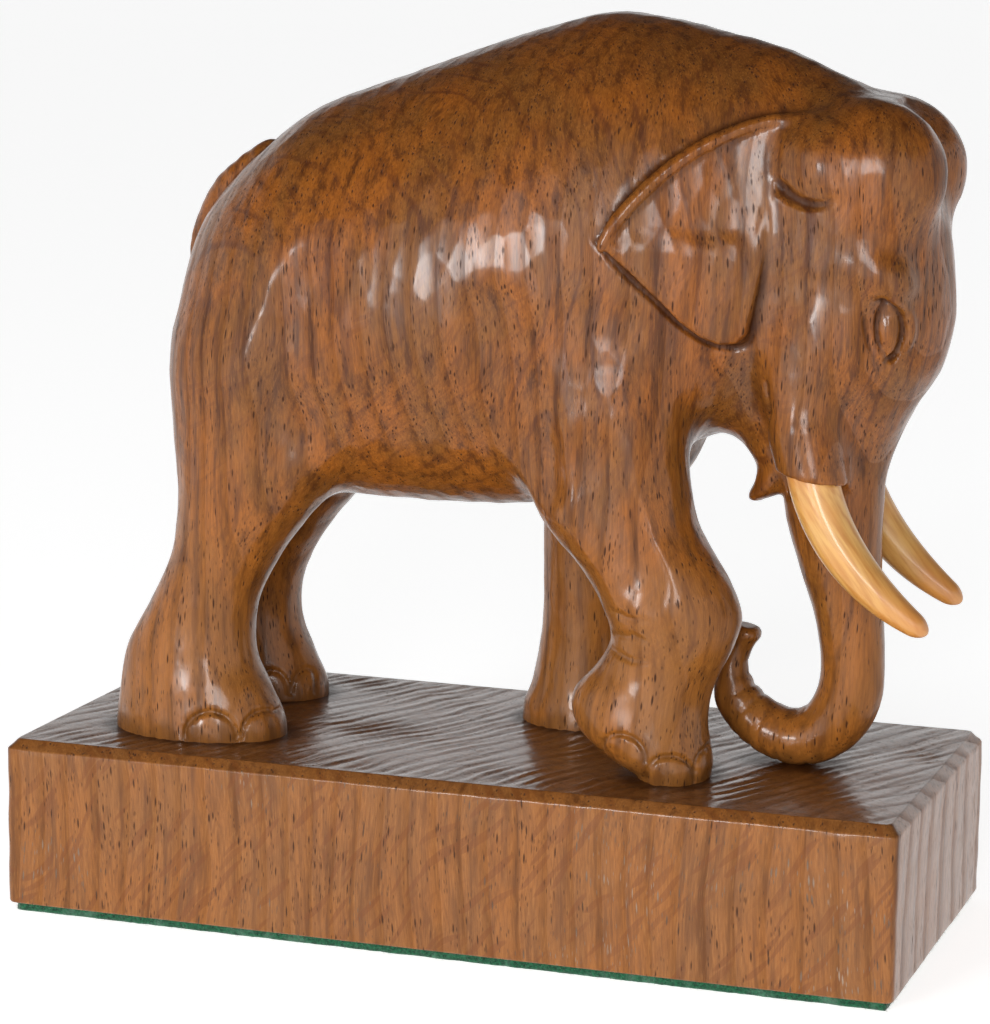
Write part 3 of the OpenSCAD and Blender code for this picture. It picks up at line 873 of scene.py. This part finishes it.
write_value(plinth, "corner", np.clip(feet * 0.5 + np.maximum(on_top * 0.2, on_chamfer * 0.22), 0, 1))
write_value(plinth, "proud", 0 * on_top)
print("plinth", len(plinth_points), "points; top ripples", np.round([top[:, 2].min(), top[:, 2].max()], 2))

# %% [markdown]
# ## The tusks
#
# Each tusk is turned from pale close-grained wood, scraped into a curve and glued into its
# sheath. The curve is drawn with one control point, the rings along it shrink towards the
# tip, and slight flats run along it where the scraper went.

# %% Tusks
AROUND_TUSK = 48                        # points round a ring
ROUND_FROM, ROUND_OVER = 0.93, 0.07     # where along its length the tip starts to round off


def tusk(name, node, side):
    root, way = TUSK_ROOT * (1, side, 1), TUSK_WAY * (1, side, 1)
    tip = root + np.array([23.2, side * 1.2, -28.6])
    bend = root + way * np.linalg.norm(tip - root) * 0.5
    turn = np.linspace(0, 2 * math.pi, AROUND_TUSK, endpoint=False)
    end_stops = 1 - ROUND_OVER * (1 - np.linspace(0, 1, 12)[1:]) ** 2
    stops = np.concatenate([[-0.06], np.linspace(0, ROUND_FROM, 60), end_stops])
    out = []
    for t in stops:
        at = root * (1 - t) ** 2 + bend * 2 * t * (1 - t) + tip * t * t
        ahead = (bend - root) * (1 - t) + (tip - bend) * t
        ahead /= np.linalg.norm(ahead)
        u = np.cross(ahead, (0, 1, 0))
        u /= np.linalg.norm(u)
        v = np.cross(ahead, u)
        blunt = math.sqrt(max(0.0, 1 - (max(0, t - ROUND_FROM) / ROUND_OVER) ** 2))
        r = 4.88 * (1 - 0.185 * t - 0.436 * max(t, 0) ** 3) * max(blunt, 0.02)
        flats_along = 1 + 0.010 * np.sin(turn * 5 + 0.8 + 2 * t) + 0.006 * np.sin(turn * 9 + 3 * t)
        out.append(at + (u * np.cos(turn)[:, None] + v * np.sin(turn)[:, None]) * (r * flats_along)[:, None])
    piece = make_mesh(name, np.vstack(out), ring_faces(len(out), AROUND_TUSK))
    bm = bmesh.new()
    bm.from_mesh(piece.data)
    bmesh.ops.holes_fill(bm, edges=[e for e in bm.edges if e.is_boundary])
    bmesh.ops.recalc_face_normals(bm, faces=bm.faces)
    bm.to_mesh(piece.data)
    bm.free()
    write_value(piece, "along", np.repeat(np.clip(stops, 0, 1), AROUND_TUSK))
    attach(piece, "root")
    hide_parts(node)
    return piece


tusks = [tusk("right_tusk_carved", "right_tusk", -1), tusk("left_tusk_carved", "left_tusk", 1)]
print("tusks", [len(t.data.vertices) for t in tusks])

# %% [markdown]
# ## The baize
#
# Green baize is a thin felted wool. It is cut a little smaller than the plinth with scissors,
# so its edge wanders and the cut fibres stand out of it as fuzz. The sheet is a thin slab
# with a wandering edge, and the fuzz is a few thousand short hairs, each a bent sliver.

# %% Baize
HALF = base_high[:2]
edge = []
for k in range(4):
    a, b = [np.array(c) * HALF for c in ((-1, -1), (1, -1), (1, 1), (-1, 1), (-1, -1))[k:k + 2]]
    edge += [a + (b - a) * t for t in np.linspace(0, 1, 160 if k % 2 == 0 else 72, endpoint=False)]
edge = np.array(edge)
inward = -np.sign(edge) * (np.abs(edge) > HALF - 0.5)
edge3 = np.column_stack([edge, 0 * edge[:, 0]])
wander = 0.10 + 0.10 * wave(edge3, 9, 31) + 0.09 * wave(edge3, 2.6, 32)
# height, and how far the side is in from the cut line
layers = [(0.0, 0.28), (0.12, 0.06), (0.5, 0.0), (1.0, 0.03), (1.5, 0.05), (1.72, 0.12), (1.8, 0.5)]
m, slab = len(edge), []
for z, shrink in layers:
    ragged = 0.05 * wave(np.column_stack([edge, np.full(m, 9.0 * z)]), 1.7, 33)
    cut_in = (np.clip(wander, 0, 1) + shrink + ragged)[:, None].clip(0)
    slab.append(np.column_stack([edge + inward * cut_in, np.full(m, z / layers[-1][0] * BAIZE_THICK)]))
faces = ring_faces(len(layers), m)
faces += [list(range(m - 1, -1, -1)), [(len(layers) - 1) * m + i for i in range(m)]]
baize = make_mesh("baize_sheet", np.vstack(slab), faces, [len(f) == 4 for f in faces])
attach(baize, "root")
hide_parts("baize")

rng = np.random.default_rng(5)
count = 5200
pick = rng.integers(0, m, count)
to_next = edge[(pick + 1) % m] - edge[pick]
foot = edge[pick] + to_next * rng.random((count, 1)) + inward[pick] * (wander[pick, None] + 0.1)
foot = np.column_stack([foot, rng.uniform(0.12, 1.7, count)])
out_way = np.column_stack([-inward[pick], np.zeros(count)])
lean = rng.normal(0, 0.55, (count, 3)) * (1, 1, 0.6)
reach = rng.uniform(0.25, 0.75, count)[:, None]
middle = foot + (out_way + lean) * reach * 0.55
end = middle + (out_way + lean * 1.7 - (0, 0, 0.25)) * reach * 0.45
end[:, 2], middle[:, 2] = np.clip(end[:, 2], 0.04, 1.78), np.clip(middle[:, 2], 0.04, 1.78)
limit = HALF + 0.55
end[:, :2] = np.clip(end[:, :2], -limit, limit)
along_edge = np.column_stack([-out_way[:, 1], out_way[:, 0], np.zeros(count)]) * 0.03
up_bit = np.array([0, 0, 0.03])
hair = np.stack([foot + along_edge, foot - along_edge, foot + up_bit, middle + along_edge * 0.7,
                 middle - along_edge * 0.7, middle + up_bit * 0.7, end], 1).reshape(-1, 3)
pattern = [(0, 1, 4, 3), (1, 2, 5, 4), (2, 0, 3, 5), (3, 4, 6), (4, 5, 6), (5, 3, 6), (2, 1, 0)]
hair_faces = [[7 * h + i for i in f] for h in range(count) for f in pattern]
fuzz = make_mesh("baize_fuzz", hair, hair_faces, smooth=False)
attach(fuzz, "root")
print("baize", np.round(2 * HALF, 1), "mm with", count, "hairs")

# %% [markdown]
# ## A way to write finishes
#
# A finish in Blender is a net of nodes, and most of it is sums. Here a socket is wrapped so
# that Python's own signs work on it: `1 - mask * 0.3` adds the Math nodes itself. Anything
# else comes from one method, which takes the kind of node, its settings and its inputs.

# %% The finish writer
class Wire:
    """A value in a finish. + - * and / on it add Math nodes."""

    def __init__(self, finish, socket):
        self.finish, self.socket = finish, socket

    def sum(self, kind, *values):
        return self.finish.node("Math", {"operation": kind}, dict(enumerate(values)))

    def __add__(self, other): return self.sum("ADD", self, other)
    def __radd__(self, other): return self.sum("ADD", other, self)
    def __sub__(self, other): return self.sum("SUBTRACT", self, other)
    def __rsub__(self, other): return self.sum("SUBTRACT", other, self)
    def __mul__(self, other): return self.sum("MULTIPLY", self, other)
    def __rmul__(self, other): return self.sum("MULTIPLY", other, self)
    def __truediv__(self, other): return self.sum("DIVIDE", self, other)

    def between(self, low, high):
        """0 below low, 1 above high, smooth between; the other way round if low is the larger."""
        flip = low > high
        a, b = (high, low) if flip else (low, high)
        t = self.finish.node("MapRange", {"interpolation_type": "SMOOTHSTEP"},
                             {0: self, 1: a, 2: b, 3: 0.0, 4: 1.0})
        return 1 - t if flip else t

    def beside(self, output):
        """Another output of the node that this value comes from."""
        return Wire(self.finish, self.socket.node.outputs[output])


class Finish:
    """A material under construction."""

    def __init__(self, name):
        self.material = bpy.data.materials.new(name)
        self.material.use_nodes = True
        self.nodes, self.links = self.material.node_tree.nodes, self.material.node_tree.links

    def plug(self, node, inputs):
        """Feeds a node: a wire makes a link, and a plain value is set on the socket."""
        for key, value in inputs.items():
            if isinstance(value, Wire):
                self.links.new(value.socket, node.inputs[key])
            else:
                node.inputs[key].default_value = value

    def node(self, kind, settings=None, inputs=None, output=0):
        made = self.nodes.new("ShaderNode" + kind)
        for key, value in (settings or {}).items():
            setattr(made, key, value)
        self.plug(made, inputs or {})
        return Wire(self, made.outputs[output])

    def surface(self, inputs):
        """Feeds the shader."""
        self.plug(self.nodes["Principled BSDF"], inputs)

    def millimetres(self):
        """The place on the piece, in millimetres."""
        spot = self.node("TexCoord", output="Object")
        return self.node("VectorMath", {"operation": "SCALE"}, {0: spot, "Scale": 1000.0})

    def split(self, place):
        x = self.node("SeparateXYZ", inputs={0: place})
        return x, x.beside(1), x.beside(2)

    def joined(self, x, y, z):
        return self.node("CombineXYZ", inputs={0: x, 1: y, 2: z})

    def stretched(self, place, scale, shift=(0, 0, 0)):
        return self.node("Mapping", {"vector_type": "POINT"},
                         {"Vector": place, "Location": shift, "Scale": scale})

    def noise(self, place, scale, detail=2.0, rough=0.5):
        return self.node("TexNoise", {"noise_dimensions": "3D"},
                         {"Vector": place, "Scale": scale, "Detail": detail, "Roughness": rough})

    def cells(self, place, random):
        """The distance to the nearest cell's centre, and one random value for each cell."""
        cell = self.node("TexVoronoi", {"feature": "F1", "voronoi_dimensions": "3D"},
                         {"Vector": place, "Scale": 1.0, "Randomness": random})
        return cell, self.node("SeparateColor", inputs={0: cell.beside("Color")})

    def saw(self, value):
        """Rises from 0 to 1 again and again."""
        return self.node("Math", {"operation": "FRACT"}, {0: value})

    def mix(self, share, first, second):
        return self.node("Mix", {"data_type": "RGBA", "clamp_factor": True},
                         {0: share, 6: first, 7: second}, 2)

    def value(self, name):
        return self.node("Attribute", {"attribute_name": name}, output="Fac")

    def bump(self, strength, distance, height):
        return self.node("Bump", inputs={"Strength": strength, "Distance": distance, "Height": height})

    def wear(self, piece):
        piece.data.materials.clear()
        piece.data.materials.append(self.material)


def paint(red, green, blue):
    """A colour given as it looks on screen, from 0 to 255, for a shader's linear socket."""
    linear = [((v / 255 + 0.055) / 1.055) ** 2.4 if v > 10 else v / 3295 for v in (red, green, blue)]
    return (*linear, 1.0)


# %% [markdown]
# ## Oak
#
# Oak has three marks that no other wood shows together. Growth rings, a few millimetres
# apart. Pores, which are open pipes along the grain: long dark dashes where the surface runs
# with the grain, and dots where it cuts across it. And rays, thin walls of hard tissue that
# run out from the heart, which show as slanting flecks on a face and as fine dark curves
# where the carving rounds over.
#
# All of them are worked out in the space of the block, so that they run through the wood and
# come out as they would on every side. The grain stands upright in the legs and the trunk.
#
# The back is painted a little darker and the legs a little paler, by height alone: painted shade on
# the back and painted light on the legs, not something that oak does.

# %% Oak
# the first colour is the painted shade laid into hollows and round the feet
PAINTED_SHADE, RAY_LINE, FILLER = paint(50, 23, 8), paint(70, 32, 14), paint(160, 138, 118)
RING_APART, GRAIN_TURN = 5.0, math.radians(26)      # millimetres, and the way the rings run


def oak(name, base, warm, dark, pale, ray, pore, fill, polish, show_lines, ray_size, painted_leg_light):
    """fill is the range of the noise over which pores are filled; the last argument is how much painted light
    makes the legs paler.
    """
    f = Finish(name)
    # rings across, the way along them, and the grain upright
    spot = f.node("Mapping", {"vector_type": "POINT"},
                  {"Vector": f.millimetres(), "Rotation": (0, 0, GRAIN_TURN)})
    wander = f.noise(f.stretched(spot, (0.022, 0.022, 0.012)), 1.0, 2.0)
    ring_x, ray_y, grain_z = f.split(spot)
    across = ring_x + (wander - 0.5) * 14
    around = ray_y + (f.noise(f.stretched(spot, (0.03, 0.05, 0.02), (7, 3, 1)), 1.0, 2.0) - 0.5) * 9

    # growth rings: a soft sawtooth, with the open pores in its first part
    beat = f.saw(across / RING_APART)
    early = beat.between(0.0, 0.08) * beat.between(0.42, 0.16)
    late = beat.between(0.45, 0.97)

    # pores: long cells along the grain, kept where the ring is open
    def pores(wide, long, keep, shift):
        cell, chance = f.cells(f.joined(across / wide, around / wide, grain_z / long + shift), 0.9)
        return cell.between(0.33, 0.12) * (chance + keep).between(0.88, 1.05)

    open_pores = pores(0.72, 4.4, early * 0.62 + 0.14, 0.0)
    small_pores = pores(0.46, 2.2, early * 0.45 + 0.24, 31.0) * 0.7
    pore_mask = f.node("Math", {"operation": "MAXIMUM"}, {0: open_pores, 1: small_pores})

    # rays: thin leaves of hard tissue that climb at a slant across the face of the board
    thin, long = around * 1.75 - grain_z * 0.64, around * 1.46 + grain_z * 0.77
    ray_cell, ray_pick = f.cells(f.joined(thin / (1.3 * ray_size), long / (10 * ray_size), across / 12), 1.0)
    rays = ray_cell.between(0.5, 0.4) * ray_pick.between(0.3, 0.6)
    # and the fine dark curves, in patches
    lines = f.saw(around / 3.6 + wander * 0.7)
    patches = f.noise(f.stretched(spot, (0.04, 0.08, 0.04), (2, 9, 4)), 1.0, 1.0).between(0.44, 0.6)
    curves = lines.between(0.0, 0.07) * lines.between(0.22, 0.12) * patches

    # fine fibre, streaks a millimetre or two wide, and slow clouds of colour
    fibre = f.noise(f.joined(across / 0.35, around / 0.35, grain_z / 5), 1.0, 3.0, 0.65)
    streak = f.noise(f.joined(across / 1.9, around / 1.9, grain_z / 26), 1.0, 3.0, 0.6)
    cloud = f.noise(f.stretched(spot, (0.07, 0.07, 0.035), (5, 5, 5)), 1.0, 3.0, 0.6)
    corner, proud = f.value("corner"), f.value("proud")
    low_down, back_shade = grain_z.between(112, 42), grain_z.between(140, 180)

    colour = f.mix(cloud.between(0.36, 0.64), base, warm)
    streak_share = streak.between(0.44, 0.70) * (0.72 + low_down * painted_leg_light * 0.2)
    colour = f.mix(streak_share + late * 0.22, colour, dark)
    # painted shade: the back darker by height alone
    colour = f.mix(back_shade * 0.3, colour, dark)
    colour = f.mix(fibre.between(0.42, 0.68) * 0.42, colour, dark)
    colour = f.mix(fibre.between(0.46, 0.24) * 0.30, colour, pale)
    colour = f.mix(rays * (0.48 * ray_size - 0.12), colour, ray)
    colour = f.mix(curves * show_lines, colour, RAY_LINE)
    # painted shade: darker in the hollows of the carving and round its feet, and a little on the plinth's top
    # and chamfer
    colour = f.mix(corner.between(0.03, 0.7) * 0.8, colour, PAINTED_SHADE)
    # painted light: the legs paler by height alone
    colour = f.mix(low_down * (1 - streak) * painted_leg_light * 2.1, colour, pale)
    colour = f.mix(proud * 0.25, colour, warm)
    filled = f.noise(f.stretched(spot, (0.05, 0.05, 0.06), (1, 2, 3)), 1.0, 1.0).between(*fill)
    filled = filled * corner.between(0.2, 0.05)
    colour = f.mix(pore_mask * 0.92, colour, f.mix(filled, pore, FILLER))

    coat = polish * (0.75 + corner.between(0.02, 0.15) * 0.25) * (1 - pore_mask * 0.8)
    coat = coat * (1 - late * 0.55) * (1 - corner.between(0.2, 0.9) * 0.8)
    height = (fibre - 0.5) * 0.22 + (streak - 0.5) * 0.12 - pore_mask * 0.3
    f.surface({"Base Color": colour, "Roughness": 0.44 + (fibre - 0.5) * 0.25 + pore_mask * 0.25,
               "Coat Weight": coat, "Coat Roughness": 0.19, "Coat IOR": 1.42,
               "Specular IOR Level": 0.12, "Normal": f.bump(0.6, 0.0005, height)})
    return f


carved_oak = oak(
    "carved_oak", base=paint(117, 71, 26), warm=paint(139, 78, 22), dark=paint(66, 33, 11),
    pale=paint(158, 102, 46), ray=paint(88, 44, 16), pore=paint(52, 27, 14),
    fill=(0.8, 0.9), polish=0.95, show_lines=0.45, ray_size=0.8, painted_leg_light=0.36)
plinth_oak = oak(
    "plinth_oak", base=paint(134, 85, 41), warm=paint(142, 87, 37), dark=paint(94, 55, 24),
    pale=paint(168, 118, 66), ray=paint(108, 59, 24), pore=paint(60, 37, 24),
    fill=(0.48, 0.78), polish=1.0, show_lines=0.1, ray_size=1.25, painted_leg_light=0.0)
carved_oak.wear(elephant)
plinth_oak.wear(plinth)
print("oak with", len(carved_oak.nodes), "nodes")

# %% [markdown]
# ## Tusk wood
#
# The tusks are a pale yellow wood under clear polish, a little browner where they enter the
# sheath and towards the tip. Fine streaks run along the curve.

# %% Tusk wood
t = Finish("tusk_wood")
mm = t.millimetres()
tx, ty, tz = t.split(mm)
along = t.value("along")
streak = t.noise(t.joined((tx + tz * 0.75) / 1.1, ty / 1.1, (tz - tx * 0.75) / 14), 1.0, 3.0)
blotch = t.noise(mm, 0.16, 2.0)
colour = t.mix(streak.between(0.3, 0.75), paint(206, 158, 88), paint(176, 118, 54))
colour = t.mix(blotch.between(0.42, 0.75) * 0.55, colour, paint(200, 138, 66))
colour = t.mix(along.between(0.10, 0.0) * 0.5 + along.between(0.55, 1.0) * 0.6, colour, paint(184, 112, 48))
t.surface({"Base Color": colour, "Roughness": 0.34 + streak * 0.12, "Coat Weight": 0.7,
           "Coat Roughness": 0.16, "Normal": t.bump(0.3, 0.0003, streak * 0.3)})
for piece in tusks:
    t.wear(piece)
print("tusk wood with", len(t.nodes), "nodes")

# %% [markdown]
# ## Baize wool
#
# Baize is matt and soft: a rough surface with a sheen, mottled where the felted wool bunches.
# The fuzz wears the same finish as the sheet.

# %% Baize wool
g = Finish("green_baize")
mm = g.millimetres()
wool = g.noise(mm, 1.6, 4.0, 0.7)
bunch = g.noise(mm, 0.35, 2.0)
colour = g.mix(wool.between(0.3, 0.7), paint(8, 46, 30), paint(32, 98, 66))
colour = g.mix(bunch.between(0.5, 0.8) * 0.4, colour, paint(96, 132, 112))
g.surface({"Base Color": colour, "Roughness": 0.95, "Sheen Weight": 0.4, "Specular IOR Level": 0.15,
           "Normal": g.bump(0.8, 0.0004, wool)})
for piece in (baize, fuzz):
    g.wear(piece)
print("baize wool with", len(g.nodes), "nodes")

# %% [markdown]
# ## Floor and light
#
# A white floor, a white room that is darker overhead, and two soft windows at about the
# height of the piece, left and right of the camera, which draw the highlights on the polish.
# A wide fill from the left lights the wood but isn't mirrored in it. The bright band at the
# horizon is what the top of the plinth mirrors.

# %% Floor and light
scene = bpy.context.scene
scene.view_settings.view_transform = "Standard"
world = bpy.data.worlds.new("studio")
scene.world = world
world.use_nodes = True
sky = world.node_tree
direction = sky.nodes.new("ShaderNodeTexCoord")
parts = sky.nodes.new("ShaderNodeSeparateXYZ")
fade = sky.nodes.new("ShaderNodeValToRGB")
for element, height, grey in zip(fade.color_ramp.elements, (0.28, 0.50), (1.0, 0.06)):
    element.position, element.color = height, (grey, grey, grey, 1)
sky.links.new(direction.outputs["Generated"], parts.inputs[0])
sky.links.new(parts.outputs["Z"], fade.inputs[0])
sky.links.new(fade.outputs[0], sky.nodes["Background"].inputs["Color"])
sky.nodes["Background"].inputs["Strength"].default_value = 1.0
LAMP_DISTANCE, AIM = 1.3, Vector((0, 0, 0.1))


def softbox(name, toward, wide, tall, power, mirrored=True):
    """A rectangle of light in a direction from the middle of the piece, aimed at it."""
    lamp = bpy.data.objects.new(name, bpy.data.lights.new(name, "AREA"))
    lamp.data.shape, lamp.data.size, lamp.data.size_y, lamp.data.energy = "RECTANGLE", wide, tall, power
    toward = Vector(toward).normalized()
    lamp.location = AIM + toward * LAMP_DISTANCE
    lamp.rotation_mode = "QUATERNION"
    lamp.rotation_quaternion = toward.to_track_quat("Z", "Y")
    scene.collection.objects.link(lamp)
    lamp.visible_glossy = mirrored


softbox("window_light", (-0.24, -0.93, 0.11), 0.26, 0.24, 5.6)
softbox("second_window", (0.27, -0.93, 0.22), 0.26, 0.45, 5.0)
softbox("soft_fill", (-0.40, -0.9, 0.0), 1.0, 0.5, 5.0, mirrored=False)

FLOOR = 6 / MM
floor = make_mesh("floor", [(-FLOOR, -FLOOR, 0), (FLOOR, -FLOOR, 0), (FLOOR, FLOOR, 0), (-FLOOR, FLOOR, 0)],
                  [(0, 1, 2, 3)], smooth=False)
floor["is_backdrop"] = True
paper = Finish("white_paper")
paper.surface({"Base Color": (0.92, 0.92, 0.92, 1), "Roughness": 0.9,
               "Emission Color": (1, 1, 1, 1), "Emission Strength": 0.72})
paper.wear(floor)
print("three soft lights", LAMP_DISTANCE, "m away")

# %% [markdown]
# ## The two boxes
#
# The last cell puts the box of the solid parts and the box of what was made here in one table, so
# that the two can be compared.

# %% Finish
size = {"cad": [list(c) for c in cad_box], "visual": [list(c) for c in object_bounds()]}
